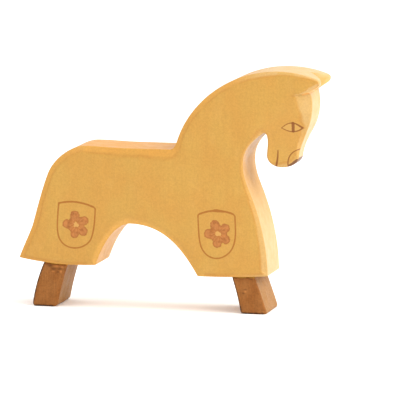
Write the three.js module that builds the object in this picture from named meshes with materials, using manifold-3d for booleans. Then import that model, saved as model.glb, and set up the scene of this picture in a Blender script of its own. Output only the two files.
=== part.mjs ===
// A flat-cut wooden toy horse in a knight's cloth.
//
// One thick board makes the cloth, the neck, the head and both ears. Two stained legs
// are glued under the hem of the cloth, each with two dowels. Nothing moves.
//
// Millimetres. +X points towards the head, +Y to the horse's left side, +Z up. The origin
// is on the ground, at the middle of the length and of the thickness.

import * as THREE from 'three';
import { mergeVertices } from 'three/addons/utils/BufferGeometryUtils.js';
import Module from 'manifold-3d';

const wasm = await Module();
wasm.setup();

// Driving dimensions.

const BOARD_THICKNESS = 30;
const LEG_THICKNESS = 27;
const CHAMFER_WIDTH = 3;       // on the broad face
const CHAMFER_DEPTH = 1.4;     // through the thickness
const GLUE_GAP = 0.3;          // between a piece and its neighbour
const LEG_BEVEL = 0.7;
const SOLE_ROUND = 1.7;        // radius at the back and front of each sole
const DOWEL_RADIUS = 3;
const DOWEL_LENGTH = 20;       // half in the leg and half in the board
const DOWEL_BEVEL = 0.6;
const DOWEL_SPREAD = 7;        // from the middle of the thickness to each dowel
const DOWEL_SIDES = 20;
const CURVE_STEP = 2;          // longest step along a curve
const CURVE_MIN_STEPS = 5;
const LEG_CURVE_STEPS = 4;
const HALF_BOARD = BOARD_THICKNESS / 2;

// The hems carry the legs, so they are drawn first. Points are (x, z).

const point = (x, z) => new THREE.Vector2(x, z);

const HIND_HEM = new THREE.QuadraticBezierCurve(
  point(-76.9, 24.5),          // under the tail
  point(-58, 20.8),
  point(-37.6, 21.9),          // start of the belly arch
);
const FORE_HEM = new THREE.QuadraticBezierCurve(
  point(14.8, 18.1),           // end of the belly arch
  point(32, 17.9),
  point(50.2, 19.3),           // foot of the chest
);

// Each leg stands between heel and toe, and its top lies along a stretch of its hem.
// Halfway down, its back edge stands out by swell and its front edge falls back by hollow.

const LEGS = {
  hind: {
    hem: HIND_HEM, from: 0.325, to: 0.64, heel: -70.4, toe: -57.9, swell: 0.8, hollow: 0.4,
  },
  fore: {
    hem: FORE_HEM, from: 0.49, to: 0.81, heel: 36.2, toe: 50, swell: -0.3, hollow: -0.15,
  },
};

// The taper of the head and the bevel of the forehead are flat cuts on each side of it.
// half is the half thickness left at the point (x, z), and it changes by alongX and
// alongZ for each millimetre.

const MUZZLE_CUT = {
  x: 64, z: 78, half: 7, alongX: -0.235, alongZ: 0.345,
  region: { x: [47.4, 80], z: [70, 110] },
};
const FOREHEAD_CUT = {
  x: 71.7, z: 103, half: 9, alongX: -0.71, alongZ: 0,
  region: { x: [60, 80], z: [70, 110] },
};

// The V cut that parts the ears leans forward a little on its way down.

const EAR_CUT = {
  foot: [70, 110.7],           // (x, z) of its lower end
  lean: THREE.MathUtils.degToRad(-12),
  length: 12,
  halfWidth: 22,
  height: 20,
};

// Outline of the board

function drawArch(path) {
  path.bezierCurveTo(-34.6, 30.9, -28.5, 42.6, -20, 43.3);
  path.bezierCurveTo(-4, 43.2, 5.5, 34.2, FORE_HEM.v0.x, FORE_HEM.v0.y);
}

function drawChest(path) {
  path.bezierCurveTo(50, 33, 46.6, 47, 42.5, 57.5);
  path.bezierCurveTo(40.2, 63.2, 37.6, 68.6, 37.7, 74.5);
  path.bezierCurveTo(37.6, 81.5, 41.4, 86, 47.7, 90.2);
}

function drawMuzzle(path) {
  path.quadraticCurveTo(48.6, 90.8, 49, 89.9);
  path.bezierCurveTo(50.2, 87.6, 49.3, 83.2, 48.9, 79.5);
  path.bezierCurveTo(48.5, 75.3, 51.6, 72.7, 55.8, 72.7);
  path.bezierCurveTo(60, 72.7, 63.8, 74.8, 64, 78);
}

function drawForehead(path) {
  path.bezierCurveTo(64.5, 83, 67.1, 87.6, 69.2, 92.3);
  path.bezierCurveTo(71.6, 97.5, 72.6, 105, 70.7, 110.7);
}

function drawEar(path) {
  path.lineTo(75.3, 114);
  path.bezierCurveTo(76.4, 115, 76.7, 116.6, 75.3, 117.4);
}

function drawCrest(path) {
  path.bezierCurveTo(69.5, 119.8, 62, 121.3, 54, 121.1);
  path.bezierCurveTo(41.5, 120.9, 28.5, 116, 18.6, 107.2);
  path.bezierCurveTo(12.5, 101.6, 7, 94.6, 4, 84.9);
}

function drawBack(path) {
  path.bezierCurveTo(3.3, 82.4, 2.4, 81, 0, 81);
  path.lineTo(-22, 81);
  path.bezierCurveTo(-29, 81, -38, 81.8, -44.2, 81.5);
}

function drawRump(path) {
  path.bezierCurveTo(-51.2, 80.7, -59.7, 74.2, -62.4, 66.5);
  path.bezierCurveTo(-65.2, 59.1, -67.7, 49.6, -70.1, 40.9);
  path.bezierCurveTo(-71.8, 36.1, -75, 30, HIND_HEM.v0.x, HIND_HEM.v0.y);
}

function boardOutline() {
  const path = new THREE.Path();
  path.curves.push(HIND_HEM);
  path.currentPoint.copy(HIND_HEM.v2);
  drawArch(path);
  path.curves.push(FORE_HEM);
  path.currentPoint.copy(FORE_HEM.v2);
  drawChest(path);
  drawMuzzle(path);
  drawForehead(path);
  drawEar(path);
  drawCrest(path);
  drawBack(path);
  drawRump(path);
  return path;
}

function sampled(path) {
  const points = [];
  for (const curve of path.curves) {
    const fine = Math.max(CURVE_MIN_STEPS, Math.ceil(curve.getLength() / CURVE_STEP));
    const steps = curve.isLineCurve ? 1 : fine;
    points.push(...curve.getSpacedPoints(steps).slice(0, -1));
  }
  return points;
}

// Inset of an outline: the inner edge of the chamfer. Every outline point moves inwards
// along its mitre. Near a sharp corner some would come too close to the other side, and
// those join the nearest good one, so slots holds the inset point of each outline point.

function mitred(points, i, width) {
  const here = points[i];
  const before = points.at(i - 1);
  const after = points[(i + 1) % points.length];
  const inward = (a, b) => point(a.y - b.y, b.x - a.x).normalize();
  const first = inward(before, here);
  const second = inward(here, after);
  const mitre = first.clone().add(second).multiplyScalar(width / (1 + first.dot(second)));
  return mitre.add(here);
}

function distanceToOutline(place, points) {
  const nearest = new THREE.Vector3();
  const target = new THREE.Vector3(place.x, place.y, 0);
  let least = Infinity;
  for (let i = 0; i < points.length; i += 1) {
    const a = points[i];
    const b = points[(i + 1) % points.length];
    const side = new THREE.Line3(
      new THREE.Vector3(a.x, a.y, 0),
      new THREE.Vector3(b.x, b.y, 0),
    );
    side.closestPointToPoint(target, true, nearest);
    least = Math.min(least, nearest.distanceTo(target));
  }
  return least;
}

function inset(points, width) {
  const tolerance = 0.05;
  const candidates = points.map((_, i) => mitred(points, i, width));
  const good = candidates.map((c) => distanceToOutline(c, points) > width - tolerance);
  const loop = [];
  const place = new Map();
  good.forEach((isGood, i) => {
    if (isGood) {
      place.set(i, loop.length);
      loop.push(candidates[i]);
    }
  });
  const count = points.length;
  const slots = points.map((_, i) => {
    let reach = 0;
    while (true) {
      const ahead = (i + reach) % count;
      const behind = (i - reach + count) % count;
      if (good[ahead]) return place.get(ahead);
      if (good[behind]) return place.get(behind);
      reach += 1;
    }
  });
  return { loop, slots };
}

// The chamfered board as one closed surface: four rings of points across the thickness,
// joined by strips and closed by the two broad faces.

function chamferedBoard(points) {
  const { loop, slots } = inset(points, CHAMFER_WIDTH);
  const wall = HALF_BOARD - CHAMFER_DEPTH;
  const straight = points.map((_, i) => i);
  const positions = [];
  const triangles = [];

  function ring(source, map, y) {
    const start = positions.length / 3;
    source.forEach((p) => positions.push(p.x, y, p.y));
    return map.map((slot) => start + slot);
  }

  function face(corners) {
    if (new Set(corners).size === 3) triangles.push(...corners);
  }

  const rings = [
    ring(loop, slots, -HALF_BOARD),
    ring(points, straight, -wall),
    ring(points, straight, wall),
    ring(loop, slots, HALF_BOARD),
  ];
  for (let r = 0; r + 1 < rings.length; r += 1) {
    const near = rings[r];
    const far = rings[r + 1];
    for (let i = 0; i < points.length; i += 1) {
      const next = (i + 1) % points.length;
      face([near[i], far[i], near[next]]);
      face([near[next], far[i], far[next]]);
    }
  }

  const farStart = positions.length / 3 - loop.length;
  for (const [a, b, c] of THREE.ShapeUtils.triangulateShape(loop, [])) {
    face([a, b, c]);
    face([farStart + a, farStart + c, farStart + b]);
  }

  const geometry = new THREE.BufferGeometry();
  geometry.setAttribute('position', new THREE.Float32BufferAttribute(positions, 3));
  geometry.setIndex(triangles);
  return geometry;
}

// Solids, cuts and back

function solid(geometry) {
  const bare = geometry.clone();
  bare.deleteAttribute('normal');
  bare.deleteAttribute('uv');
  const merged = mergeVertices(bare, 1e-4);
  return new wasm.Manifold(new wasm.Mesh({
    numProp: 3,
    vertProperties: new Float32Array(merged.attributes.position.array),
    triVerts: new Uint32Array(merged.index.array),
  }));
}

function geometryOf(manifold) {
  const mesh = manifold.getMesh();
  const geometry = new THREE.BufferGeometry();
  geometry.setAttribute('position', new THREE.BufferAttribute(mesh.vertProperties, 3));
  geometry.setIndex(new THREE.BufferAttribute(mesh.triVerts, 1));
  return geometry;
}

function blockBetween([x0, x1], [y0, y1], [z0, z1]) {
  const block = new THREE.BoxGeometry(x1 - x0, y1 - y0, z1 - z0);
  return block.translate((x0 + x1) / 2, (y0 + y1) / 2, (z0 + z1) / 2);
}

// What a flat cut takes from one side of the head; side is -1 or 1.

function sideCut(cut, side) {
  const reach = 120;
  const outward = new THREE.Vector3(-cut.alongX, side, -cut.alongZ).normalize();
  const beyond = new THREE.BoxGeometry(reach, reach, reach).translate(0, 0, reach / 2);
  beyond.applyQuaternion(
    new THREE.Quaternion().setFromUnitVectors(new THREE.Vector3(0, 0, 1), outward),
  );
  beyond.translate(cut.x, side * cut.half, cut.z);
  const region = blockBetween(
    cut.region.x,
    [-BOARD_THICKNESS, BOARD_THICKNESS],
    cut.region.z,
  );
  return solid(beyond).intersect(solid(region));
}

function earCut() {
  const wedge = new THREE.Shape([
    point(0, 0),
    point(EAR_CUT.length, -EAR_CUT.halfWidth),
    point(EAR_CUT.length, EAR_CUT.halfWidth),
  ]);
  const geometry = new THREE.ExtrudeGeometry(wedge, {
    depth: EAR_CUT.height,
    bevelEnabled: false,
  });
  geometry.rotateY(EAR_CUT.lean);
  geometry.translate(EAR_CUT.foot[0], 0, EAR_CUT.foot[1]);
  return solid(geometry);
}

// Legs and dowels

function legTop(leg) {
  const steps = 4;
  const points = [];
  for (let i = 0; i <= steps; i += 1) {
    const along = THREE.MathUtils.lerp(leg.to, leg.from, i / steps);
    const place = leg.hem.getPoint(along);
    points.push(point(place.x, place.y - GLUE_GAP));
  }
  return points;
}

function withoutRepeats(points) {
  const least = 0.01;
  return points.filter((p, i) => p.distanceTo(points.at(i - 1)) > least);
}

function legOutline(leg) {
  const top = legTop(leg);
  const front = top[0];
  const back = top.at(-1);
  const toe = point(leg.toe, 0).lerp(front, SOLE_ROUND / front.y);
  const shape = new THREE.Shape();
  shape.moveTo(leg.heel + SOLE_ROUND, 0);
  shape.lineTo(leg.toe - SOLE_ROUND, 0);
  shape.quadraticCurveTo(leg.toe, 0, toe.x, toe.y);
  shape.quadraticCurveTo(
    (toe.x + front.x) / 2 - 2 * leg.hollow, (toe.y + front.y) / 2,
    front.x, front.y,
  );
  top.slice(1).forEach((p) => shape.lineTo(p.x, p.y));
  shape.quadraticCurveTo(
    (back.x + leg.heel) / 2 - 2 * leg.swell, (back.y + SOLE_ROUND) / 2,
    leg.heel, SOLE_ROUND,
  );
  shape.quadraticCurveTo(leg.heel, 0, leg.heel + SOLE_ROUND, 0);
  return new THREE.Shape(withoutRepeats(shape.getPoints(LEG_CURVE_STEPS)));
}

function legGeometry(leg) {
  const geometry = new THREE.ExtrudeGeometry(legOutline(leg), {
    depth: LEG_THICKNESS - 2 * LEG_BEVEL,
    bevelThickness: LEG_BEVEL,
    bevelSize: LEG_BEVEL,
    bevelOffset: -LEG_BEVEL,
    bevelSegments: 1,
  });
  geometry.translate(0, 0, LEG_BEVEL - LEG_THICKNESS / 2);
  return geometry.rotateX(Math.PI / 2);
}

// A dowel's middle is on the joint, and it lies along the leaning leg.

function dowelPlaces(leg) {
  const joint = leg.hem.getPoint((leg.from + leg.to) / 2);
  const middle = (leg.heel + leg.toe) / 2;
  const lean = Math.atan2(joint.x - middle, joint.y);
  const at = (y) => ({ position: new THREE.Vector3(joint.x, y, joint.y), lean });
  return { left: at(DOWEL_SPREAD), right: at(-DOWEL_SPREAD) };
}

function dowelGeometry() {
  const end = DOWEL_LENGTH / 2;
  const profile = [
    point(0, -end),
    point(DOWEL_RADIUS - DOWEL_BEVEL, -end),
    point(DOWEL_RADIUS, DOWEL_BEVEL - end),
    point(DOWEL_RADIUS, end - DOWEL_BEVEL),
    point(DOWEL_RADIUS - DOWEL_BEVEL, end),
    point(0, end),
  ];
  return new THREE.LatheGeometry(profile, DOWEL_SIDES).rotateX(Math.PI / 2);
}

function dowelHole({ position, lean }) {
  const radius = DOWEL_RADIUS + GLUE_GAP;
  const length = DOWEL_LENGTH + 2 * GLUE_GAP;
  const hole = new THREE.CylinderGeometry(radius, radius, length, DOWEL_SIDES);
  hole.rotateX(Math.PI / 2).rotateY(lean).translate(...position);
  return solid(hole);
}

const DOWELS = {
  hind: dowelPlaces(LEGS.hind),
  fore: dowelPlaces(LEGS.fore),
};

function drilled(blank, places) {
  return places.reduce((piece, place) => piece.subtract(dowelHole(place)), blank);
}

// Pieces

function bodyGeometry() {
  let body = solid(chamferedBoard(sampled(boardOutline())));
  for (const side of [-1, 1]) {
    body = body.subtract(sideCut(MUZZLE_CUT, side)).subtract(sideCut(FOREHEAD_CUT, side));
  }
  body = body.subtract(earCut());
  const places = Object.values(DOWELS).flatMap((pair) => Object.values(pair));
  return geometryOf(drilled(body, places));
}

function wood(color, roughness) {
  return new THREE.MeshStandardMaterial({ color, roughness, metalness: 0 });
}

const MATERIALS = {
  ochre: wood('#e0a652', 0.5),
  brown: wood('#a4693a', 0.6),
  beech: wood('#d8b183', 0.7),
};

const group = new THREE.Group();

function addPiece(name, geometry, material) {
  const mesh = new THREE.Mesh(geometry, material);
  mesh.name = name;
  group.add(mesh);
  return mesh;
}

addPiece('horse_body', bodyGeometry(), MATERIALS.ochre);

for (const [end, leg] of Object.entries(LEGS)) {
  const blank = solid(legGeometry(leg));
  const places = DOWELS[end];
  addPiece(`${end}_leg`, geometryOf(drilled(blank, Object.values(places))), MATERIALS.brown);
  for (const [side, place] of Object.entries(places)) {
    const dowel = addPiece(`${end}_dowel_${side}`, dowelGeometry(), MATERIALS.beech);
    dowel.position.copy(place.position);
    dowel.rotation.y = place.lean;
  }
}

export default group;
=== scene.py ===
"""The looks of a flat-cut wooden toy horse in a knight's cloth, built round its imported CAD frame.

The board that makes cloth, neck, head and ears gets carved bevels, drawn lines and a glazed
wood finish. The two legs get rounded, stained wood. The dowels keep their CAD shape.
Shapes are worked out in millimetres in the row frame, where a flat point is (x, z), and the
meshes are made in metres.
"""

import math

import bpy
import numpy as np
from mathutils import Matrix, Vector
from mathutils.geometry import delaunay_2d_cdt


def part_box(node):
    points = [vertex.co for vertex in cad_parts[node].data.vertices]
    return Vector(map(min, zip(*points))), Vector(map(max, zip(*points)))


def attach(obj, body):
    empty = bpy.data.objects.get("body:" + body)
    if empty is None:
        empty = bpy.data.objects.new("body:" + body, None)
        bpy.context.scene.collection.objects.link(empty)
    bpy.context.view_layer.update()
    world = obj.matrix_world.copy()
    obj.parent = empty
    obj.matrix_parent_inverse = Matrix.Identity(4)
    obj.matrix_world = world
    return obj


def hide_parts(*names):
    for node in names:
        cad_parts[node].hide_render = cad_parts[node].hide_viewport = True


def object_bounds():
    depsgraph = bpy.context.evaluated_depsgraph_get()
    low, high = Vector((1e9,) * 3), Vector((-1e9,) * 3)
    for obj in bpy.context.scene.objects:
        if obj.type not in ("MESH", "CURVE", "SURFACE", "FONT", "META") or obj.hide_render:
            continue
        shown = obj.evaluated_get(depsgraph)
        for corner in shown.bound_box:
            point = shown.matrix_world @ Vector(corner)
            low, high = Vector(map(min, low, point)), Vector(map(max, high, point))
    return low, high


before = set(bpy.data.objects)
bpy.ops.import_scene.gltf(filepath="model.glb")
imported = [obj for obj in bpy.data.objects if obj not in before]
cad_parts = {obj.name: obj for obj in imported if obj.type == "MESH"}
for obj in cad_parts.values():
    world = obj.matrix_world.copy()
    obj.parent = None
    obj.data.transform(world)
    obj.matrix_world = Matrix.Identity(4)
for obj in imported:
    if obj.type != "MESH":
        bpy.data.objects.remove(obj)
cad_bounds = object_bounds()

MM = 0.001
BODY = "root"

# ---------------------------------------------------------------------------------------
# Sizes, in millimetres

HALF_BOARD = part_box("horse_body")[1].y / MM
HALF_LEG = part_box("fore_leg")[1].y / MM
GLUE_GAP = 0.1                 # between a leg and the board

OUTLINE_STEP = 0.65
CORNER_STEP = 0.1              # extra outline points this close to a sharp corner
SHARP_TURN = 30                # in degrees
COARSE_GRID = 1.15
HEAD_GRID = 0.6
DRAWING_GRID = 0.28
LEG_GRID = 0.5
LEAST_GAP = 0.09               # closer grid points than this become one
DRAWING_MARGIN = 1.1           # the fine grid reaches this far past a drawn line
RIM_RINGS = (0.14, 0.32, 0.6, 1.0, 1.5, 2.1, 2.7, 3.0, 3.35, 4.0)
LEG_RINGS = (0.14, 0.3, 0.5)
WALL_ROWS = (0, 0.2, 0.4, 0.58, 0.74, 0.86, 0.93, 0.965, 0.985)   # shares of the half thickness

# The head is what lies beyond HEAD_CORNER in x and z. It gets thinner along TAPER_WAY.

HEAD_CORNER = (43, 71)
TAPER_START = (44.5, 95)
TAPER_WAY = (0.565, -0.825)
HEAD_TAPER = 0.33              # loss of half thickness per millimetre
TAPER_SOFTNESS = 1.6

RIDGE = 0.35                   # how softly two carved faces meet
EAR_SLOPE = 1.25               # of the ear's underside, up from the ledge
NICK = [(62.6, 109.2), (65.2, 109.7)]
NICK_DEPTH = 0.3
NICK_WIDTH = 0.4

# ---------------------------------------------------------------------------------------
# The outline of the board, counter-clockwise from the tail. Each stretch has the control
# points of its Bézier curve, and the width and depth of its bevel at its start and end.

HIND_HEM = [(-76.9, 24.5), (-58, 20.8), (-37.6, 21.9)]
FORE_HEM = [(14.8, 18.1), (32, 17.9), (50.2, 19.3)]
EAR_ROOT = (70.7, 110.7)
EAR_STEP = [(63.6, 109.6), (67.5, 109.9), EAR_ROOT, (75.3, 114)]

RIM_BEFORE_HEAD = [
    (HIND_HEM, (1.7, 0.7), (1.4, 0.6)),
    ([(-37.6, 21.9), (-34.6, 30.9), (-28.5, 42.6), (-20, 43.3)], (3.2, 0.9), (3.5, 0.8)),
    ([(-20, 43.3), (-4, 43.2), (5.5, 34.2), (14.8, 18.1)], (3.5, 0.8), (1.5, 0.6)),
    (FORE_HEM, (1.6, 0.7), (1.9, 0.8)),
    ([(50.2, 19.3), (50, 33), (46.6, 47), (42.5, 57.5)], (3.5, 1.5), (2.2, 1.1)),
    ([(42.5, 57.5), (40.2, 63.2), (37.6, 68.6), (37.7, 74.5)], (1.8, 0.9), (1.4, 0.7)),
    ([(37.7, 74.5), (37.6, 81.5), (41.4, 86), (47.7, 90.2)], (1.4, 0.7), (0.9, 0.4)),
    ([(47.7, 90.2), (48.6, 90.8), (49, 89.9)], (0.7, 0.3), (0.7, 0.3)),
    ([(49, 89.9), (50.2, 87.6), (49.3, 83.2), (48.9, 79.5)], (1.0, 0.5), (1.2, 0.6)),
    ([(48.9, 79.5), (48.5, 75.3), (51.6, 72.7), (55.8, 72.7)], (1.2, 0.6), (1.3, 0.7)),
    ([(55.8, 72.7), (60, 72.7), (63.8, 74.8), (64, 78)], (1.3, 0.7), (1.3, 0.9)),
]
FRONT = [
    [(64, 78), (64.5, 83), (67.1, 87.6), (69.2, 92.3)],
    [(69.2, 92.3), (71.6, 97.5), (72.6, 105), EAR_ROOT],
]
EAR_UNDERSIDE = [EAR_ROOT, (75.3, 114)]
RIM_AFTER_HEAD = [
    ([(75.3, 114), (76.4, 115), (76.7, 116.6), (75.3, 117.4)], (1.0, 0.8), (0.9, 0.6)),
    ([(75.3, 117.4), (69.5, 119.8), (62, 121.3), (54, 121.1)], (1.0, 0.6), (2.3, 1.1)),
    ([(54, 121.1), (41.5, 120.9), (28.5, 116), (18.6, 107.2)], (2.4, 1.1), (3.0, 1.4)),
    ([(18.6, 107.2), (12.5, 101.6), (7, 94.6), (4, 84.9)], (3.0, 1.4), (2.8, 1.3)),
    ([(4, 84.9), (3.3, 82.4), (2.4, 81), (0, 81)], (2.8, 1.3), (4.6, 1.2)),
    ([(0, 81), (-22, 81)], (4.6, 1.2), (4.0, 1.1)),
    ([(-22, 81), (-29, 81), (-38, 81.8), (-44.2, 81.5)], (4.0, 1.1), (3.0, 1.3)),
    ([(-44.2, 81.5), (-51.2, 80.7), (-59.7, 74.2), (-62.4, 66.5)], (3.0, 1.4), (3.0, 1.4)),
    ([(-62.4, 66.5), (-65.2, 59.1), (-67.7, 49.6), (-70.1, 40.9)], (3.0, 1.4), (3.0, 1.4)),
    ([(-70.1, 40.9), (-71.8, 36.1), (-75, 30), HIND_HEM[0]], (3.0, 1.4), (2.6, 1.2)),
]

# The bevel of the forehead and the nose has a half thickness at the rim and a slope, each
# given at some heights. The ear's ledge has a half thickness at some places along x.

FRONT_HALF = [(76, 5.4), (84, 5.6), (88, 7), (92.5, 9.2), (100, 9.9)]
FRONT_SLOPE = [(84, 1.7), (88, 1.1), (91, 0.52), (95, 0.41), (102, 0.49), (110, 0.66)]
EAR_LEDGE_HALF = [(63.6, 14.75), (67.5, 13), (70.7, 11.7), (76, 12.6)]

# The V cut between the ears, in plan as (x, y), goes up from the ears' root. Its plan is
# right at NOTCH_LEVEL, and moves forward on the way down.

NOTCH_PLAN = [
    (68.6, 1.7), (69.7, 0.1), (71.2, -1.8), (73.5, -5.3), (75.0, -8.2), (75.9, -10.4),
    (76.7, -13), (78.2, -18), (86, -18), (86, 18), (77.6, 18), (76.3, 14),
    (74.4, 9.4), (72.3, 5.6), (70.2, 3.4),
]
NOTCH_LEVEL = 117
NOTCH_TOP = 124
NOTCH_ROWS = 6
NOTCH_LEAN = math.radians(12)

# Each leg stands between heel and toe, and its top lies along a stretch of its hem, from
# one share of it to another. Its back edge stands out by swell, its front edge falls back
# by hollow, and round is how much of the half thickness is gone at its rim. The marks are
# as deep as scoop and painted dark, and the bare spots are painted pale. Each of them is
# (x, z, reach along x, reach along z).

LEGS = {
    "hind_leg": {
        "hem": HIND_HEM, "from": 0.325, "to": 0.64, "heel": -70.4, "toe": -57.9,
        "swell": 0.8, "hollow": 0.4, "round": 0.85, "scoop": 0.4,
        "marks": [
            (-61.2, 20.8, 1.4, 1), (-59.2, 19.2, 1.6, 0.7),
            (-56.2, 19.3, 1.5, 0.6), (-57.2, 17.6, 0.9, 0.5),
        ],
        "bare": [
            (-57.6, 20.6, 1.7, 0.5), (-54.9, 20.2, 0.9, 0.4),
            (-59.6, 17.9, 0.9, 0.35), (-55.5, 17.9, 0.6, 0.8),
        ],
    },
    "fore_leg": {
        "hem": FORE_HEM, "from": 0.49, "to": 0.81, "heel": 36.2, "toe": 50,
        "swell": -0.3, "hollow": -0.15, "round": 0.5, "scoop": 0.12,
        "marks": [(37.9, 10.4, 0.9, 0.5), (38.9, 12.1, 1.1, 0.4), (41.6, 17.4, 1.1, 0.4)],
        "bare": [(38.9, 11.2, 0.7, 0.6)],
    },
}
SOLE_ROUND = 1.7
TOP_SAG = 0.02                 # of the middle control point of a leg's top
LEG_BEVEL_SLOPE = 0.68
LEG_UNEVENNESS = 0.06          # in the half thickness, from hand sanding

# ---------------------------------------------------------------------------------------
# The drawings. A stroke is a curve with a half width at its start and its end. A shield's
# first curve is its top, which is drawn more heavily than the others.

SHIELDS = [
    [
        [(16, 49.5), (24.5, 53.1), (32.8, 50)],
        [(32.8, 50), (34, 49.5), (34, 48)],
        [(34, 48), (34.1, 43.6), (34.8, 38.5), (33.2, 34.2)],
        [(33.2, 34.2), (30.9, 27.4), (21.6, 24.5), (17.3, 32)],
        [(17.3, 32), (15.6, 35.2), (15.5, 41.5), (15.2, 48.4)],
        [(15.2, 48.4), (15.2, 49.1), (16, 49.5)],
    ],
    [
        [(-56.1, 52.6), (-47.4, 55), (-38.3, 51.2)],
        [(-38.3, 51.2), (-37.3, 50.8), (-37.3, 49.7)],
        [(-37.3, 49.7), (-37.6, 45), (-37.9, 38.6), (-39.7, 34.8)],
        [(-39.7, 34.8), (-42.9, 29.2), (-52.9, 28.5), (-55.8, 34.9)],
        [(-55.8, 34.9), (-57.6, 38.6), (-56.6, 46), (-56.1, 52.6)],
    ],
]
SHIELD_BLOT = [
    ([(21.3, 51), (23, 51.35), (24.7, 51.4)], 0.4, 0.8),
    ([(24.7, 51.4), (28.6, 50.9)], 0.8, 0.4),
]
SHIELD_TOP_HALF = 0.46
SHIELD_SIDE_HALF = 0.36
STROKE_POINTS = 24

# Each flower has its centre, the directions of its petals in degrees and their radii. A
# petal is round, and its middle is at PETAL_REACH from the flower's.

FLOWERS = [
    {"centre": (25.4, 39.9), "petals": (110, 38, -35, -95, -178), "radii": (2.4, 2.3, 2.3, 2.3, 2.4)},
    {"centre": (-47.2, 42), "petals": (98, 27, -41, -100, 176), "radii": (2.4, 2.3, 2.4, 2.1, 2.3)},
]
PETAL_REACH = 4.7
FLOWER_CORE = 4.5              # radius of the disk under the petals
FLOWER_REACH = 7.3             # no petal goes further out
FLOWER_FIELD = 12              # places in a flower are stored this far out
SPOT_RADIUS = 1.3

EYE_MIDDLE = (62.8, 94)
EYE_REACH = (5.51, 2.9)
LIDS = [
    ([(56.8, 93.1), (58.8, 94.9), (60.2, 95.7), (62.1, 95.7)], 0.2, 0.26),
    ([(62.1, 95.7), (63.8, 95.6), (65, 94.6), (67.0, 93.2)], 0.3, 0.5),
    ([(56.8, 93.1), (58.8, 92.1), (60.1, 91.3), (62.1, 91.3)], 0.2, 0.28),
    ([(62.1, 91.3), (64.1, 91.3), (65.8, 92), (67.0, 93.2)], 0.28, 0.36),
]
PUPIL = ([(62.45, 95.5), (62.35, 91.5)], 0.78, 0.72)
MOUTH = ([(54.4, 81.8), (54.3, 77.6), (52.9, 73)], 0.24, 0.54)
NOSTRIL = ([(65.3, 82.3), (60, 81.2), (58.6, 77), (58.8, 73.2)], 0.24, 0.3)
NOSE_PATCH = [
    ([(59.2, 73.6), (61, 74.6), (63.2, 76.0)], 0.5, 1.1),
    ([(60.2, 74.4), (61.6, 75.4), (64.0, 76.2)], 0.4, 0.75),
]
NOSE_WALL = [(59.4, 72.3), (65.2, 77.6)]     # corners of the dark nose on the board's edge

# ---------------------------------------------------------------------------------------
# Colours, as display values from 0 to 255

OCHRE = (179, 136, 60)
OCHRE_PALE = (186, 141, 68)
OCHRE_DEEP = (179, 132, 57)
# The carved colours below are partly thin glaze and partly painted sheen on bevels and sides; the second
# is painted light on the right-hand walls, the third partly painted light near the arch.
CARVED = (193, 135, 57)
CARVED_PAINTED_LIT = (188, 157, 108)
CARVED_ARCH = (209, 155, 76)
RIDGE_LINE = (164, 106, 40)
# The next colour is painted light under the ear's step.
EAR_PAINTED_LIGHT = (206, 150, 80)
EYE = (182, 138, 66)
RUST = (142, 82, 14)
PETAL = (166, 101, 48)
PETAL_EDGE = (138, 74, 24)
SPOT = (186, 138, 70)
INK = (116, 62, 6)
NOSE = (104, 64, 34)
BROWN = (132, 80, 36)
BROWN_PALE = (142, 91, 46)
# The next colour is a painted sheen on the legs' sides.
BROWN_SIDE_PAINTED_SHEEN = (150, 107, 60)
# The next colour darkens the legs' marks and their back, heel and sole edges; at the edges it is partly
# stain and partly painted shade.
BROWN_DARK = (62, 38, 22)
KNOT = (188, 122, 66)
BEECH = (216, 177, 131)
FLOOR = (248, 246, 243)


def display(colour):
    """A display colour as the linear colour that shaders take."""
    linear = [(c / 255 / 12.92 if c < 11 else ((c / 255 + 0.055) / 1.055) ** 2.4) for c in colour]
    return (*linear, 1.0)


# ---------------------------------------------------------------------------------------
# Flat curves


def on_bezier(controls, shares):
    """The points at some shares of a Bézier curve of any degree."""
    t = np.asarray(shares, float)[:, None]
    layer = [np.array(c, float) for c in controls]
    while len(layer) > 1:
        layer = [(1 - t) * a + t * b for a, b in zip(layer, layer[1:])]
    return layer[0]


def length_of(controls):
    fine = on_bezier(controls, np.linspace(0, 1, 61))
    return np.linalg.norm(np.diff(fine, axis=0), axis=1).sum()


def stretch(controls, step=OUTLINE_STEP):
    """Points along one stretch of an outline, its end left out."""
    count = max(4, round(length_of(controls) / step))
    return on_bezier(controls, np.linspace(0, 1, count, endpoint=False))


def stroke_path(controls):
    """The points of a drawn curve, with both its ends."""
    return on_bezier(controls, np.linspace(0, 1, STROKE_POINTS + 1))


def with_close_corners(outline):
    """The outline with extra points next to its sharp corners."""
    before, after = np.roll(outline, 1, axis=0), np.roll(outline, -1, axis=0)
    back = (before - outline) / np.linalg.norm(before - outline, axis=1)[:, None]
    ahead = (after - outline) / np.linalg.norm(after - outline, axis=1)[:, None]
    sharp = (back * ahead).sum(1) > -math.cos(math.radians(SHARP_TURN))
    points = []
    for i, corner in enumerate(outline):
        if sharp[i]:
            points += [corner + back[i] * CORNER_STEP, corner, corner + ahead[i] * CORNER_STEP]
        else:
            points.append(corner)
    return np.array(points)


def nearest_corner(points, path):
    """The number of the path's point that is nearest to each point."""
    squared = (path**2).sum(1)
    nearest = np.empty(len(points), int)
    for at in range(0, len(points), 8000):
        some = points[at : at + 8000]
        nearest[at : at + 8000] = (squared - 2 * some @ path.T).argmin(1)
    return nearest


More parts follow.
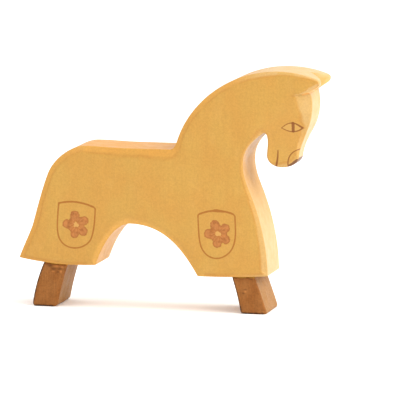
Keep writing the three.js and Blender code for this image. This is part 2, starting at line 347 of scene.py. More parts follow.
def distance_to_path(points, path, values=None, loop=False):
    """Distance from each point to a path of close points, and the path's value there."""
    count = len(path)
    values = np.zeros(count) if values is None else np.asarray(values, float)
    corner = nearest_corner(points, path)
    distance, found = np.full(len(points), np.inf), np.zeros(len(points))
    for side in (-1, 0):
        start = (corner + side) % count if loop else np.clip(corner + side, 0, count - 2)
        end = (start + 1) % count
        step, offset = path[end] - path[start], points - path[start]
        along = (offset * step).sum(1) / np.maximum((step**2).sum(1), 1e-12)
        along = np.clip(along, 0, 1)
        gap = np.linalg.norm(offset - along[:, None] * step, axis=1)
        closer = gap < distance
        value = values[start] * (1 - along) + values[end] * along
        distance = np.where(closer, gap, distance)
        found = np.where(closer, value, found)
    return distance, found


def dense(corners, step=0.3):
    """A path of close points through a few corners."""
    corners = np.array(corners, float)
    parts = []
    for a, b in zip(corners, corners[1:]):
        count = max(2, round(np.linalg.norm(b - a) / step))
        parts.append(a + np.linspace(0, 1, count, endpoint=False)[:, None] * (b - a))
    return np.vstack([*parts, corners[-1:]])


def inside(points, polygon):
    """Which points lie inside a closed polygon."""
    x, z = points[:, 0], points[:, 1]
    result = np.zeros(len(points), bool)
    for (ax, az), (bx, bz) in zip(polygon, np.roll(polygon, -1, axis=0)):
        crosses = (az > z) != (bz > z)
        if az != bz:
            result ^= crosses & (x < ax + (z - az) * (bx - ax) / (bz - az))
    return result


def hex_grid(low, high, step):
    """A triangular grid of points over a rectangle."""
    rows = []
    for i, z in enumerate(np.arange(low[1], high[1], step * math.sqrt(3) / 2)):
        x = np.arange(low[0] + (i % 2) * step / 2, high[0], step)
        rows.append(np.column_stack([x, np.full(len(x), z)]))
    return np.vstack(rows)


def inner_grid(outline, step, room):
    """The grid's points inside an outline that are more than room away from it."""
    grid = hex_grid(outline.min(0), outline.max(0), step)
    grid = grid[inside(grid, outline)]
    return grid[distance_to_path(grid, outline, loop=True)[0] > room]


def wave(x, *terms):
    """A gentle wave with no pattern to the eye: each term is (length, height, start)."""
    return sum(height * np.sin(2 * math.pi * x / length + start) for length, height, start in terms)


def smooth_step(x, low, high):
    """From 0 at low to 1 at high, with no kink at either end."""
    t = np.clip((x - low) / (high - low), 0, 1)
    return t * t * (3 - 2 * t)


def soft_min(a, b, radius):
    """The lesser of a and b, with the crease between them rounded."""
    mix = np.maximum(radius - np.abs(a - b), 0) / radius
    return np.minimum(a, b) - mix * mix * radius / 4


# ---------------------------------------------------------------------------------------
# A slab: one closed mesh with a carved relief on both broad faces


def offset_rings(outline, distances):
    """Points at each distance inside the outline, left out where another side is nearer."""
    before, after = np.roll(outline, 1, axis=0), np.roll(outline, -1, axis=0)
    along = after - before
    inward = np.column_stack([-along[:, 1], along[:, 0]]) / np.linalg.norm(along, axis=1)[:, None]
    rings = []
    for distance in distances:
        moved = outline + inward * distance
        clear, _ = distance_to_path(moved, outline, loop=True)
        rings.append(moved[(clear > distance * 0.97) & inside(moved, outline)])
    return np.vstack(rings)


def thinned(points):
    """The points in order, without any that falls in a taken cell of a fine grid."""
    cells = np.round(points / LEAST_GAP).astype(int)
    _, first = np.unique(cells, axis=0, return_index=True)
    return points[np.sort(first)]


def triangulated(outline, inner):
    """The flat points and the triangles inside the outline. The outline's points come first."""
    points = [Vector(p) for p in np.vstack([outline, inner])]
    border = list(range(len(outline)))
    inside_only, tolerance = 1, 1e-5
    result = delaunay_2d_cdt(points, [], [border], inside_only, tolerance)
    flat = np.array([tuple(v) for v in result[0]])
    return flat, [list(f) for f in result[2]]


def slab(name, outline, inner, half_at):
    """Builds the mesh; half_at(points) gives the half thickness at flat points, in millimetres."""
    flat, triangles = triangulated(outline, inner)
    count, ring = len(flat), len(outline)
    half = half_at(flat)
    near = np.column_stack([flat[:, 0], -half, flat[:, 1]])
    levels = [-t for t in reversed(WALL_ROWS[1:])] + list(WALL_ROWS)
    rows = [np.column_stack([outline[:, 0], half[:ring] * t, outline[:, 1]]) for t in levels]
    vertices = np.vstack([near, near * (1, -1, 1), *rows])

    faces = triangles + [[count + c, count + b, count + a] for a, b, c in triangles]
    starts = [0] + [2 * count + i * ring for i in range(len(levels))] + [count]
    for first, second in zip(starts, starts[1:]):
        for i in range(ring):
            j = (i + 1) % ring
            faces.append([first + i, second + i, second + j, first + j])

    mesh = bpy.data.meshes.new(name)
    mesh.from_pydata(vertices, [], faces)
    return mesh


def positions(mesh):
    flat = np.empty(len(mesh.vertices) * 3, np.float32)
    mesh.vertices.foreach_get("co", flat)
    return flat.reshape(-1, 3).astype(float)


def move_to(mesh, places):
    mesh.vertices.foreach_set("co", places.astype(np.float32).ravel())
    mesh.update()


def relax(mesh, chosen, rounds):
    """Moves the chosen vertices half way to the middle of their neighbours, some rounds."""
    pairs = np.empty(len(mesh.edges) * 2, np.int32)
    mesh.edges.foreach_get("vertices", pairs)
    a, b = pairs.reshape(-1, 2).T
    places = positions(mesh)
    number = np.bincount(np.concatenate([a, b]), minlength=len(places))[:, None]
    for _ in range(rounds):
        total = np.zeros_like(places)
        np.add.at(total, a, places[b])
        np.add.at(total, b, places[a])
        middle = total / np.maximum(number, 1)
        places[chosen] += 0.5 * (middle - places)[chosen]
    move_to(mesh, places)


def round_arris(mesh, outline, half_at, reach, depth, rounds):
    """Rounds the arris between wall and carved face, up to reach inwards and depth down."""
    places = positions(mesh)
    points = places[:, [0, 2]]
    distance, _ = distance_to_path(points, outline, loop=True)
    relax(mesh, (distance < reach) & (np.abs(places[:, 1]) > half_at(points) - depth), rounds)


def store(mesh, name, values):
    """Keeps a number, or a flat vector, for each vertex, which a material reads by name."""
    values = np.asarray(values, np.float32)
    if values.ndim == 1:
        mesh.attributes.new(name, "FLOAT", "POINT").data.foreach_set("value", values)
        return
    vectors = np.zeros((len(values), 3), np.float32)
    vectors[:, :2] = values
    mesh.attributes.new(name, "FLOAT_VECTOR", "POINT").data.foreach_set("vector", vectors.ravel())


def finished_piece(name, mesh, material, sharp_degrees):
    """Turns a mesh in millimetres into a piece of the object, in metres."""
    move_to(mesh, np.clip(positions(mesh) * MM, *cad_bounds))
    mesh.shade_smooth()
    mesh.set_sharp_from_angle(angle=math.radians(sharp_degrees))
    mesh.materials.append(material)
    piece = bpy.data.objects.new(name, mesh)
    bpy.context.scene.collection.objects.link(piece)
    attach(piece, BODY)
    return piece


# ---------------------------------------------------------------------------------------
# The board


def rim_parts(stretches):
    """The points of some stretches of the rim, with the bevel's width and depth at each."""
    points, widths, depths = [], [], []
    for controls, start, end in stretches:
        some = stretch(controls)
        share = np.linspace(0, 1, len(some), endpoint=False)
        points.append(some)
        widths.append(start[0] + share * (end[0] - start[0]))
        depths.append(start[1] + share * (end[1] - start[1]))
    return np.vstack(points), np.concatenate(widths), np.concatenate(depths)


BEFORE_HEAD = rim_parts(RIM_BEFORE_HEAD)
AFTER_HEAD = rim_parts(RIM_AFTER_HEAD)
FRONT_POINTS = np.vstack([stretch(controls) for controls in FRONT])
EAR_POINTS = stretch(EAR_UNDERSIDE)
ARCH_POINTS = np.vstack([stretch(controls) for controls, _, _ in RIM_BEFORE_HEAD[1:3]])
BOARD_OUTLINE = with_close_corners(
    np.vstack([BEFORE_HEAD[0], FRONT_POINTS, EAR_POINTS, AFTER_HEAD[0]])
)


def tapered_half(points):
    """Half thickness of the broad face: full on the body, and less towards the muzzle."""
    beyond = (points - TAPER_START) @ np.array(TAPER_WAY)
    drop = HEAD_TAPER * TAPER_SOFTNESS * np.logaddexp(0, beyond / TAPER_SOFTNESS)
    return HALF_BOARD - drop * smooth_step(points[:, 0], 40, 52) * smooth_step(points[:, 1], 60, 70)


def above_ear_step(points):
    """Which points belong to the ear rather than to the forehead under it."""
    line = np.array(EAR_STEP)
    on_line = np.interp(points[:, 0], line[:, 0], line[:, 1])
    return (points[:, 0] > EAR_STEP[0][0]) & (points[:, 1] > on_line + 0.01)


def rim_half(points, parts):
    """Half thickness under the bevel along some stretches of the rim."""
    rim, widths, depths = parts
    run = np.concatenate([[0], np.cumsum(np.linalg.norm(np.diff(rim, axis=0), axis=1))])
    carved = 1 + wave(run, (31, 0.05, 0.4), (17.3, 0.04, 2.1), (7.9, 0.025, 4.4))
    edge = tapered_half(rim) - depths
    distance, half = distance_to_path(points, rim, edge)
    _, slope = distance_to_path(points, rim, depths / (widths * carved))
    return half + slope * distance


def front_half(points):
    """Half thickness under the bevel of the forehead and the nose."""
    height = FRONT_POINTS[:, 1]
    distance, half = distance_to_path(
        points, FRONT_POINTS, np.interp(height, *np.array(FRONT_HALF).T)
    )
    _, slope = distance_to_path(
        points, FRONT_POINTS, np.interp(height, *np.array(FRONT_SLOPE).T)
    )
    return half + slope * distance


def ear_half(points):
    """Half thickness above the ledge that the ear makes over the forehead."""
    places, halves = np.array(EAR_LEDGE_HALF).T
    distance, _ = distance_to_path(points, dense(EAR_STEP))
    return np.interp(points[:, 0], places, halves) + EAR_SLOPE * distance


def nick_depth(points):
    """The short knife cut at the inner end of the ear's ledge."""
    distance, _ = distance_to_path(points, dense(NICK))
    return NICK_DEPTH * np.exp(-((distance / NICK_WIDTH) ** 2))


def board_half(points):
    """Half thickness of the carved board."""
    half = tapered_half(points)
    for parts in (BEFORE_HEAD, AFTER_HEAD):
        half = soft_min(half, rim_half(points, parts), RIDGE)
    ear = above_ear_step(points)
    under = np.where(ear, ear_half(points), front_half(points))
    half = soft_min(half, under, RIDGE)
    return half - nick_depth(points)


def drawn_strokes():
    """Every drawn line as a path of points."""
    lines = [curve for shield in SHIELDS for curve in shield]
    lines += [stroke[0] for stroke in (*LIDS, MOUTH, NOSTRIL, *NOSE_PATCH)]
    return [stroke_path(line) for line in lines]


def near_drawings(points, reach):
    """Which points are close to a drawn line, in an eye or in a flower."""
    close = np.zeros(len(points), bool)
    for path in drawn_strokes():
        box = (points > path.min(0) - reach).all(1) & (points < path.max(0) + reach).all(1)
        found = np.flatnonzero(box & ~close)
        if len(found):
            close[found] = distance_to_path(points[found], path)[0] < reach
    for flower in FLOWERS:
        close |= np.linalg.norm(points - flower["centre"], axis=1) < FLOWER_REACH + reach
    return close | (np.linalg.norm((points - EYE_MIDDLE) / EYE_REACH, axis=1) < 1)


def in_head(points):
    return (points > HEAD_CORNER).all(1)


def board_inner_points():
    """Grid points inside the board, close together where there is fine detail."""
    fine = inner_grid(BOARD_OUTLINE, DRAWING_GRID, 0.3)
    fine = fine[near_drawings(fine, DRAWING_MARGIN)]
    head = inner_grid(BOARD_OUTLINE, HEAD_GRID, 0.45)
    head = head[in_head(head)]
    coarse = inner_grid(BOARD_OUTLINE, COARSE_GRID, RIM_RINGS[-1] + 0.5)
    coarse = coarse[~in_head(coarse)]
    rings = offset_rings(BOARD_OUTLINE, RIM_RINGS)

    # A row of points on each side of the ear's ledge keeps its step sharp.
    line = dense(EAR_STEP[:3], 0.28)[:-1]
    ledge_rows = np.vstack([line - (0, 0.18), line + (0, 0.2)])

    others = np.vstack([rings, head, coarse])
    in_rim = distance_to_path(others, BOARD_OUTLINE, loop=True)[0] < 0.3
    others = others[~near_drawings(others, DRAWING_MARGIN) | in_rim]
    loose = np.vstack([fine, others])
    loose = loose[distance_to_path(loose, line)[0] > 0.4]
    return np.vstack([ledge_rows, thinned(loose)])


def notch_cutter():
    """The wedge that the V cut between the ears takes away."""
    vertices = []
    for z in np.linspace(EAR_ROOT[1], NOTCH_TOP, NOTCH_ROWS):
        shift = (NOTCH_LEVEL - z) * math.tan(NOTCH_LEAN)
        vertices += [(x + shift, y, z) for x, y in NOTCH_PLAN]
    side = len(NOTCH_PLAN)
    bottom = list(range(side))
    faces = [bottom[::-1], [len(vertices) - side + i for i in bottom]]
    for low in range(0, len(vertices) - side, side):
        for i in bottom:
            j = (i + 1) % side
            faces.append([low + i, low + j, low + side + j, low + side + i])
    mesh = bpy.data.meshes.new("notch_cutter")
    mesh.from_pydata(vertices, [], faces)
    return mesh


def cut_away(mesh, cutter_mesh):
    """The mesh less the cutter."""
    target = bpy.data.objects.new("uncut", mesh)
    cutter = bpy.data.objects.new("cutter", cutter_mesh)
    for thing in (target, cutter):
        bpy.context.scene.collection.objects.link(thing)
    boolean = target.modifiers.new("cut", "BOOLEAN")
    boolean.operation = "DIFFERENCE"
    boolean.solver = "EXACT"
    boolean.object = cutter
    graph = bpy.context.evaluated_depsgraph_get()
    result = bpy.data.meshes.new_from_object(target.evaluated_get(graph))
    for thing in (target, cutter):
        bpy.data.objects.remove(thing)
    return result


def ink(points, controls, half_start, half_end):
    """How far each point is inside a stroke, in millimetres; it is negative outside."""
    path = stroke_path(controls)
    halves = np.linspace(half_start, half_end, len(path))
    values = np.full(len(points), -1.0)
    box = (points > path.min(0) - 2).all(1) & (points < path.max(0) + 2).all(1)
    found = np.flatnonzero(box)
    if len(found):
        distance, half = distance_to_path(points[found], path, halves)
        values[found] = np.clip(half - distance, -1, 1)
    return values


def shield_ink(points):
    values = np.full(len(points), -1.0)
    for top, *sides in SHIELDS:
        values = np.maximum(values, ink(points, top, SHIELD_TOP_HALF, SHIELD_TOP_HALF))
        for side in sides:
            values = np.maximum(values, ink(points, side, SHIELD_SIDE_HALF, SHIELD_SIDE_HALF))
    for blot in SHIELD_BLOT:
        values = np.maximum(values, ink(points, *blot))
    return values


def face_ink(points):
    values = ink(points, *MOUTH)
    for stroke in (NOSTRIL, *LIDS):
        values = np.maximum(values, ink(points, *stroke))
    return values


def eye_white(points):
    """How far inside the lids each point is."""
    lids = [stroke_path(lid[0]) for lid in LIDS]
    polygon = np.vstack([lids[2], lids[3][1:], lids[1][::-1][1:], lids[0][::-1][1:-1]])
    distance, _ = distance_to_path(points, polygon, loop=True)
    return np.clip(np.where(inside(points, polygon), distance, -distance), -1, 1)


def flower_shape(points):
    """How far inside a flower each point is, and where it is from the flower's centre."""
    depth = np.full(len(points), -1.0)
    place = np.full((len(points), 2), 50.0)
    for flower in FLOWERS:
        offset = points - flower["centre"]
        reach = np.linalg.norm(offset, axis=1)
        close = reach < FLOWER_FIELD
        place[close] = offset[close]
        shape = FLOWER_CORE - reach
        for degrees, radius in zip(flower["petals"], flower["radii"]):
            angle = math.radians(degrees)
            tip = PETAL_REACH * np.array([math.cos(angle), math.sin(angle)])
            shape = np.maximum(shape, radius - np.linalg.norm(offset - tip, axis=1))
        depth = np.where(close, np.maximum(depth, np.clip(shape, -1, 2)), depth)
    return depth, place


def nose_on_wall(points):
    """The dark nose where it runs across the edge of the board."""
    low, high = np.array(NOSE_WALL[0]), np.array(NOSE_WALL[1])
    return np.clip(np.minimum(points - low, high - points).min(1), -1, 1)


def under_ear_fade(points):
    """Where the glaze of the cheek runs on over the top corner of the forehead's bevel."""
    x, z = points[:, 0], points[:, 1]
    return smooth_step(z, 100, 107) * smooth_step(x, 70, 63) * (x > 55) * ~above_ear_step(points)


def store_drawings(mesh, points, on_face):
    """Stores how far inside each drawing a vertex is; most are only on the broad faces."""

    def only_face(values):
        return np.where(on_face, values, -1.0)

    depth, place = flower_shape(points)
    nose = np.max([ink(points, *patch) for patch in NOSE_PATCH], axis=0)
    store(mesh, "shield", only_face(shield_ink(points)))
    store(mesh, "lines", only_face(face_ink(points)))
    store(mesh, "pupil", only_face(ink(points, *PUPIL)))
    store(mesh, "eye", only_face(eye_white(points)))
    store(mesh, "petals", only_face(depth))
    store(mesh, "flower", place)
    store(mesh, "nose", np.where(on_face, nose, nose_on_wall(points)))


def store_wear_and_painted_light(mesh, points, below, on_face, in_notch):
    """Stores where the glaze is thin and where light and shade are painted; below is the depth under the
    uncut broad face.
    """
    bevel = smooth_step(below, 0.08, 0.5) * (1 - 0.55 * under_ear_fade(points))
    # Cut bevels and sides get a paler colour, partly thin glaze and partly painted sheen and highlight;
    # in the V cut it is halved, a painted shade on the far ear's lit wall.
    carved = np.where(on_face, 0.54 * bevel, 0.62 + 0.38 * smooth_step(below, 1.1, 2.2))
    nose_front = smooth_step(points[:, 1], 96, 88) * smooth_step(points[:, 0], 56, 60)
    store(mesh, "carved", carved * (1 - 0.7 * nose_front * on_face) * (1 - 0.5 * in_notch))
    # Near the belly's arch the bevel and side take a lighter colour: painted light from the lamps and
    # the floor's bounce, together with thin glaze.
    from_arch, _ = distance_to_path(points, ARCH_POINTS)
    arch = smooth_step(from_arch, 5, 3.5)
    store(mesh, "arch", arch)
    ridge = smooth_step(below, 0, 0.12) * smooth_step(below, 0.45, 0.15) * on_face
    store(mesh, "ridge", ridge * (1 - arch))
    # Under the ear's step a paler colour is painted light, lifting the shade that falls there.
    from_ear, _ = distance_to_path(points, dense(EAR_STEP[1:]))
    store(mesh, "under_ear", smooth_step(from_ear, 0.55, 0.2) * smooth_step(below, 0.3, 1.5))


def paint_board(mesh):
    """Stores the drawings, the wear and the painted light and shade on the finished board's vertices."""
    places = positions(mesh)
    points, from_middle = places[:, [0, 2]], np.abs(places[:, 1])
    half = board_half(points)
    rim_distance, _ = distance_to_path(points, BOARD_OUTLINE, loop=True)
    on_face = (from_middle > half - 0.3) | (rim_distance >= 0.08)
    in_notch = (rim_distance > 0.3) & (from_middle < half - 0.8)
    store_drawings(mesh, points, on_face)
    store_wear_and_painted_light(mesh, points, tapered_half(points) - from_middle, on_face, in_notch)


def build_board():
    mesh = slab("carved_board", BOARD_OUTLINE, board_inner_points(), board_half)
    round_arris(mesh, BOARD_OUTLINE, board_half, reach=0.33, depth=0.7, rounds=4)
    mesh = cut_away(mesh, notch_cutter())
    mesh.name = "carved_board"
    paint_board(mesh)
    return mesh


# ---------------------------------------------------------------------------------------
# The legs


def leg_sides(leg):
    """The sides of the leg, counter-clockwise: sole, toe, front, top, back and heel."""
    front, back = on_bezier(leg["hem"], (leg["to"], leg["from"])) - (0, GLUE_GAP)
    heel, toe = leg["heel"], leg["toe"]
    toe_up = np.array((toe, 0)) + (front - (toe, 0)) * SOLE_ROUND / front[1]
    hollow = (toe_up + front) / 2 - (2 * leg["hollow"], 0)
    swell = ((back[0] + heel) / 2 - 2 * leg["swell"], (back[1] + SOLE_ROUND) / 2)
    return [
        stretch([(heel + SOLE_ROUND, 0), (toe - SOLE_ROUND, 0)]),
        stretch([(toe - SOLE_ROUND, 0), (toe, 0), toe_up], 0.3),
        stretch([toe_up, hollow, front]),
        stretch([front, (front + back) / 2 - (0, TOP_SAG), back]),
        stretch([back, swell, (heel, SOLE_ROUND)]),
        stretch([(heel, SOLE_ROUND), (heel, 0), (heel + SOLE_ROUND, 0)], 0.3),
    ]


def scooped(points, marks):
    """How far each point is in the small round marks on a leg, from 0 to 1."""
    depth = np.zeros(len(points))
    for x, z, wide, tall in marks:
        reach = ((points - (x, z)) / (wide, tall)) ** 2
        depth = np.maximum(depth, np.exp(-reach.sum(1) * 1.6))
    return depth


def build_leg(name):
    leg = LEGS[name]
    sole, toe, front, top, back, heel = leg_sides(leg)
    outline = with_close_corners(np.vstack([sole, toe, front, top, back, heel]))

    def half_at(points):
        distance, _ = distance_to_path(points, outline, loop=True)
        run = points[:, 0] * 0.6 + points[:, 1]
        slope = LEG_BEVEL_SLOPE * (1 + wave(run, (9, 0.12, 1.0), (4.1, 0.08, 0.3)))
        half = soft_min(HALF_LEG, HALF_LEG - leg["round"] + slope * distance, 0.3)
        sanded = LEG_UNEVENNESS * (1 + wave(run, (6.3, 1, 2.0)))
        return half - leg["scoop"] * scooped(points, leg["marks"]) - sanded

    inner = np.vstack([offset_rings(outline, LEG_RINGS), inner_grid(outline, LEG_GRID, 0.75)])
    mesh = slab(name, outline, thinned(inner), half_at)
    places = positions(mesh)
    points = places[:, [0, 2]]
    depth = half_at(points) - np.abs(places[:, 1])
    round_arris(mesh, outline, half_at, reach=0.32, depth=0.9, rounds=8)

    # A dark band along the back, heel and sole: partly stain in the end grain, partly painted shade of
    # the rim and painted contact shadow at the sole.
    dark, _ = distance_to_path(points, np.vstack([back, heel, sole]))
    store(mesh, "edge", np.clip(np.maximum(dark, depth), 0, 5))
    store(mesh, "marks", np.where(depth < 0.05, scooped(points, leg["marks"]), 0))
    store(mesh, "bare", np.where(depth < 0.05, scooped(points, leg["bare"]), 0))
    # The sides get a paler brown, a painted sheen.
    store(mesh, "wall", smooth_step(depth, 0.1, 0.7))
    store(mesh, "from_top", np.clip(distance_to_path(points, top)[0], 0, 5))
    return mesh


# ---------------------------------------------------------------------------------------
# Materials


class Graph:
    """Short calls for the nodes of one material."""

    def __init__(self, name):
        self.material = bpy.data.materials.new(name)
        self.material.use_nodes = True
        self.tree = self.material.node_tree
        self.shader = self.tree.nodes["Principled BSDF"]
        self.place = self.add("ShaderNodeTexCoord").outputs["Object"]

    def feed(self, socket, value):
        if isinstance(value, bpy.types.NodeSocket):
            self.tree.links.new(value, socket)
        else:
            socket.default_value = value

    def add(self, kind, sockets=None, **settings):
        node = self.tree.nodes.new(kind)
        for key, value in settings.items():
            setattr(node, key, value)
        for key, value in (sockets or {}).items():
            self.feed(node.inputs[key], value)
        return node

    def noise(self, period, detail, roughness=0.5, twist=0.0):
        """Noise whose features are about period millimetres long, along x, y and z."""
        along = period if isinstance(period, tuple) else (period,) * 3
        mapping = self.add(
            "ShaderNodeMapping",
            {"Vector": self.place, "Scale": [1 / (p * MM) for p in along]},
        )
        sockets = {"Vector": mapping.outputs[0], "Scale": 1.0, "Detail": detail}
        sockets.update({"Roughness": roughness, "Distortion": twist})
        return self.add("ShaderNodeTexNoise", sockets).outputs["Fac"]

    def between(self, value, low, high, start=0.0, end=1.0, smooth=True):
        """Start below low, end above high, and a ramp between them."""
        sockets = {"Value": value, "From Min": low, "From Max": high, "To Min": start, "To Max": end}
        kind = "SMOOTHSTEP" if smooth else "LINEAR"
        return self.add("ShaderNodeMapRange", sockets, interpolation_type=kind).outputs[0]

    def mix(self, share, first, second, blend="MIX"):
        node = self.add("ShaderNodeMix", data_type="RGBA", blend_type=blend)
        self.feed(node.inputs[0], share)
        self.feed(node.inputs[6], first)
        self.feed(node.inputs[7], second)
        return node.outputs[2]

    def math(self, operation, first, second):
        node = self.add("ShaderNodeMath", operation=operation)
        self.feed(node.inputs[0], first)
        self.feed(node.inputs[1], second)
        return node.outputs[0]

    def stored(self, name, output="Fac"):
        return self.add("ShaderNodeAttribute", attribute_name=name).outputs[output]

    def grey(self, value):
        sockets = {"Red": value, "Green": value, "Blue": value}
        return self.add("ShaderNodeCombineColor", sockets).outputs[0]

    def bump(self, height, distance, strength):
        node = self.add("ShaderNodeBump", {"Height": height, "Distance": distance, "Strength": strength})
        self.feed(self.shader.inputs["Normal"], node.outputs[0])


def drawn(graph, name, wobble, softness=0.16):
    """The cover of a drawn shape from its stored depth, with a slightly uneven edge."""
    uneven = graph.between(graph.noise(0.9, 3), 0.3, 0.7, -wobble, wobble, smooth=False)
    depth = graph.math("ADD", graph.stored(name), uneven)
    return graph.between(depth, -softness, softness)


def shaded(graph, colour, value, low, high):
    """The colour made darker or lighter by a value from 0 to 1."""
    return graph.mix(1.0, colour, graph.grey(graph.between(value, 0.25, 0.75, low, high)), "MULTIPLY")


def add_flowers(graph, colour):
    """Paints the petals, their darker edges and brush strokes, and the pale spot."""
    vector = graph.stored("flower", "Vector")
    reach = graph.add("ShaderNodeVectorMath", {0: vector}, operation="LENGTH").outputs["Value"]
    parts = graph.add("ShaderNodeSeparateXYZ", {0: vector}).outputs
    angle = graph.math("ARCTAN2", parts[1], parts[0])
    polar = graph.add("ShaderNodeCombineXYZ", {"X": angle, "Y": graph.math("MULTIPLY", reach, 0.12)})
    strokes = graph.add(
        "ShaderNodeTexNoise",
        {"Vector": polar.outputs[0], "Scale": 3.6, "Detail": 2.0},
    ).outputs["Fac"]

    depth = graph.stored("petals")
    petal = graph.mix(graph.between(strokes, 0.42, 0.7), display(PETAL), display(PETAL_EDGE))
    petal = shaded(graph, petal, graph.noise(1.4, 2), 0.88, 1.12)
    edge = graph.between(depth, 0.8, 0.25, 0.0, 0.8)
    petal = graph.mix(edge, petal, display(PETAL_EDGE))
    vein = graph.math("MULTIPLY", graph.between(reach, 3.6, 1.3), graph.between(strokes, 0.45, 0.6))
    petal = graph.mix(graph.math("MULTIPLY", vein, 0.6), petal, display(RUST))
    cover = graph.math("MULTIPLY", drawn(graph, "petals", 0.3, 0.25), 0.88)
    colour = graph.mix(cover, colour, petal)

    ragged = graph.between(graph.noise(1.1, 2), 0.3, 0.7, -0.45, 0.45)
    spot = graph.between(graph.math("ADD", reach, ragged), SPOT_RADIUS + 0.2, SPOT_RADIUS - 0.2)
    return graph.mix(spot, colour, display(SPOT))


def board_material():
    graph = Graph("ochre_glaze")
    clouds = graph.noise((13, 13, 20), 3)
    colour = graph.mix(graph.between(clouds, 0.36, 0.64), display(OCHRE_DEEP), display(OCHRE))
    patches = graph.noise((6, 6, 8), 4, roughness=0.6)
    colour = graph.mix(graph.between(patches, 0.5, 0.75, 0, 0.35), colour, display(OCHRE_PALE))
    worn = graph.between(graph.noise(3.5, 3), 0.3, 0.7, 0.78, 1.0)
    along = graph.add("ShaderNodeSeparateXYZ", {0: graph.place}).outputs[0]
    # Carved bevels and sides: partly thin glaze, partly painted sheen; from x = 30 to 52 mm the colour
    # turns paler, painted light where the key lamp on the right falls on the walls.
    bare = graph.mix(graph.between(along, 0.03, 0.052), display(CARVED), display(CARVED_PAINTED_LIT))
    # Near the arch the carved colour is lighter: painted light from the lamps and the floor's bounce,
    # with thin glaze.
    bare = graph.mix(graph.stored("arch"), bare, display(CARVED_ARCH))
    colour = graph.mix(graph.math("MULTIPLY", graph.stored("carved"), worn), colour, bare)
    ridge = graph.math("MULTIPLY", graph.stored("ridge"), graph.between(patches, 0.3, 0.6, 0.1, 0.4))
    colour = graph.mix(ridge, colour, display(RIDGE_LINE))
    # Painted light under the ear's step, over the shade there.
    colour = graph.mix(graph.stored("under_ear"), colour, display(EAR_PAINTED_LIGHT))
    grain = graph.noise((0.75, 0.75, 26), 3, twist=0.3)
    colour = shaded(graph, colour, grain, 0.98, 1.015)
    bands = graph.noise((4.5, 4.5, 120), 2)
    colour = shaded(graph, colour, bands, 0.985, 1.01)
    mottle = graph.noise(0.9, 3, roughness=0.75)
    colour = shaded(graph, colour, mottle, 0.91, 1.08)

    colour = graph.mix(graph.math("MULTIPLY", drawn(graph, "shield", 0.1), 0.85), colour, display(RUST))
    colour = add_flowers(graph, colour)
    colour = graph.mix(drawn(graph, "eye", 0.05), colour, display(EYE))
    colour = graph.mix(graph.math("MULTIPLY", drawn(graph, "lines", 0.06), 0.9), colour, display(INK))
    colour = graph.mix(graph.math("MULTIPLY", drawn(graph, "pupil", 0.08), 0.9), colour, display(INK))
    colour = graph.mix(graph.math("MULTIPLY", drawn(graph, "nose", 0.15), 0.95), colour, display(NOSE))
    graph.feed(graph.shader.inputs["Base Color"], colour)

    oil = graph.between(graph.stored("carved"), 0.3, 0.9, 0.18, 0.04)
    graph.feed(graph.shader.inputs["Coat Weight"], oil)
    graph.shader.inputs["Coat Roughness"].default_value = 0.25
    graph.shader.inputs["Specular IOR Level"].default_value = 0.2
    sheen = graph.between(graph.noise(5, 3), 0.3, 0.7, 0.38, 0.5)
    graph.feed(graph.shader.inputs["Roughness"], sheen)
    pores = graph.math("ADD", grain, graph.math("MULTIPLY", mottle, 0.5))
    graph.bump(pores, 0.00006, 0.6)
    return graph.material


def leg_material():
    graph = Graph("brown_stain")
    clouds = graph.noise((5, 5, 8), 3)
    colour = graph.mix(graph.between(clouds, 0.35, 0.68), display(BROWN), display(BROWN_PALE))
    # Painted sheen: the legs' sides are coloured paler than their faces.
    colour = graph.mix(graph.stored("wall"), colour, display(BROWN_SIDE_PAINTED_SHEEN))
    grain = graph.noise((0.6, 0.6, 14), 3, twist=0.4)
    colour = shaded(graph, colour, grain, 0.91, 1.06)
    specks = graph.noise(0.9, 3, roughness=0.75)
    colour = shaded(graph, colour, specks, 0.8, 1.14)
    uneven = graph.between(graph.noise(1.6, 3), 0.3, 0.7, -0.25, 0.25)
    # The face darkens along the back, heel and sole: partly stain soaked into the end grain, partly
    # painted shade of the rim turned from the light and of the contact shadow at the sole.
    edge = graph.between(graph.math("ADD", graph.stored("edge"), uneven), 1.15, 0.35, 0.0, 0.9)
    colour = graph.mix(edge, colour, display(BROWN_DARK))
    marks = graph.math("MULTIPLY", graph.stored("marks"), graph.between(specks, 0.35, 0.6, 0.2, 0.8))
    colour = graph.mix(marks, colour, display(BROWN_DARK))
    bare = graph.math("MULTIPLY", graph.stored("bare"), graph.between(specks, 0.4, 0.6, 1.0, 0.5))
    colour = graph.mix(bare, colour, display(KNOT))
    ragged = graph.between(graph.noise(3.2, 2), 0.3, 0.7, -0.3, 0.3)
    drips = graph.math("ADD", graph.stored("from_top"), ragged)
    colour = graph.mix(graph.between(drips, 0.55, 0.3), colour, display(OCHRE))
    graph.feed(graph.shader.inputs["Base Color"], colour)
    graph.feed(graph.shader.inputs["Roughness"], graph.between(clouds, 0.3, 0.7, 0.42, 0.56))
    graph.shader.inputs["Specular IOR Level"].default_value = 0.08
    graph.bump(graph.math("ADD", grain, specks), 0.00012, 0.7)
    return graph.material


def dowel_material():
    graph = Graph("plain_beech")
    grain = graph.noise((0.5, 0.5, 9), 3)
    colour = shaded(graph, display(BEECH), grain, 0.85, 1.06)
    flecks = graph.noise((0.3, 0.3, 1.6), 1)
    colour = shaded(graph, colour, flecks, 0.94, 1.03)
    graph.feed(graph.shader.inputs["Base Color"], colour)
    graph.feed(graph.shader.inputs["Roughness"], graph.between(grain, 0.3, 0.7, 0.6, 0.75))
    graph.bump(grain, 0.00008, 0.5)
    return graph.material


def floor_material():
    graph = Graph("studio_floor")
    faint = graph.noise(300, 2)
    colour = shaded(graph, display(FLOOR), faint, 0.995, 1.0)
    graph.feed(graph.shader.inputs["Base Color"], colour)
    graph.shader.inputs["Roughness"].default_value = 0.9
    return graph.material


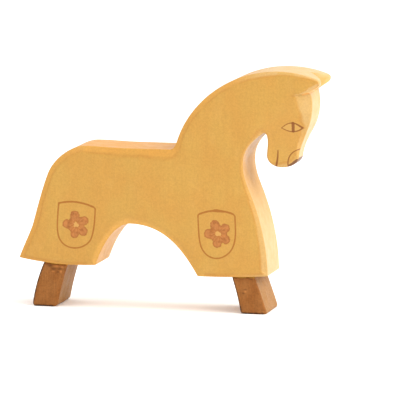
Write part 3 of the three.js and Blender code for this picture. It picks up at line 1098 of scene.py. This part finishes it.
# ---------------------------------------------------------------------------------------
# The studio

AZIMUTH = math.radians(13.4)
ELEVATION = math.radians(7.8)
CAMERA_DISTANCE = 2.3
LENS = 416
TARGET_SHIFT = Vector((0.013, 0, -0.0062))     # from the middle of the object
LIGHT_DISTANCE = 1.3
LIGHTS = {
    "key": {"azimuth": 86, "elevation": 40, "size": 1.4, "watts": 21},
    "top": {"azimuth": 100, "elevation": 75, "size": 1.2, "watts": 1.2},
    "fill": {"azimuth": -50, "elevation": 55, "size": 1.5, "watts": 5.5},
}
ROOM_BRIGHTNESS = 1.12
FLOOR_REACH = 20


def direction(azimuth, elevation):
    """The way from the object to a place round it, as the camera's angles count."""
    return Vector((
        math.sin(azimuth) * math.cos(elevation),
        -math.cos(azimuth) * math.cos(elevation),
        math.sin(elevation),
    ))


def aim(thing, place, target):
    thing.location = place
    thing.rotation_mode = "QUATERNION"
    thing.rotation_quaternion = (target - place).to_track_quat("-Z", "Y")


def add_camera(target):
    data = bpy.data.cameras.new("camera")
    data.lens = LENS
    data.sensor_width = 36
    data.clip_start, data.clip_end = 0.1, 50
    camera = bpy.data.objects.new("camera", data)
    bpy.context.scene.collection.objects.link(camera)
    aim(camera, target + direction(AZIMUTH, ELEVATION) * CAMERA_DISTANCE, target)
    bpy.context.scene.camera = camera


def add_light(name, target, azimuth, elevation, size, watts):
    data = bpy.data.lights.new(name, "AREA")
    data.shape = "DISK"
    data.size = size
    data.energy = watts
    light = bpy.data.objects.new(name, data)
    bpy.context.scene.collection.objects.link(light)
    way = direction(math.radians(azimuth), math.radians(elevation))
    aim(light, target + way * LIGHT_DISTANCE, target)


def add_floor(level):
    mesh = bpy.data.meshes.new("studio_floor")
    signs = [(-1, -1), (1, -1), (1, 1), (-1, 1)]
    corners = [(x * FLOOR_REACH, y * FLOOR_REACH, level) for x, y in signs]
    mesh.from_pydata(corners, [], [(0, 1, 2, 3)])
    mesh.materials.append(floor_material())
    floor = bpy.data.objects.new("studio_floor", mesh)
    bpy.context.scene.collection.objects.link(floor)


def add_world():
    world = bpy.data.worlds.new("studio")
    world.use_nodes = True
    background = world.node_tree.nodes["Background"]
    background.inputs["Color"].default_value = (1, 1, 1, 1)
    background.inputs["Strength"].default_value = ROOM_BRIGHTNESS
    bpy.context.scene.world = world


def set_studio():
    low, high = cad_bounds
    middle = (low + high) / 2
    add_camera(middle + TARGET_SHIFT)
    for name, light in LIGHTS.items():
        add_light(name, middle, **light)
    add_floor(low.z)
    add_world()
    bpy.context.scene.view_settings.view_transform = "Standard"


# ---------------------------------------------------------------------------------------
# The object


def build_object():
    board = finished_piece("carved_board", build_board(), board_material(), 38)
    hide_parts("horse_body")
    brown = leg_material()
    for node in LEGS:
        leg = finished_piece(f"carved_{node}", build_leg(node), brown, 50)
        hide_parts(node)
    beech = dowel_material()
    for name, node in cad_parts.items():
        if "dowel" in name:
            node.data.materials.clear()
            node.data.materials.append(beech)
    bpy.context.view_layer.update()


build_object()
set_studio()
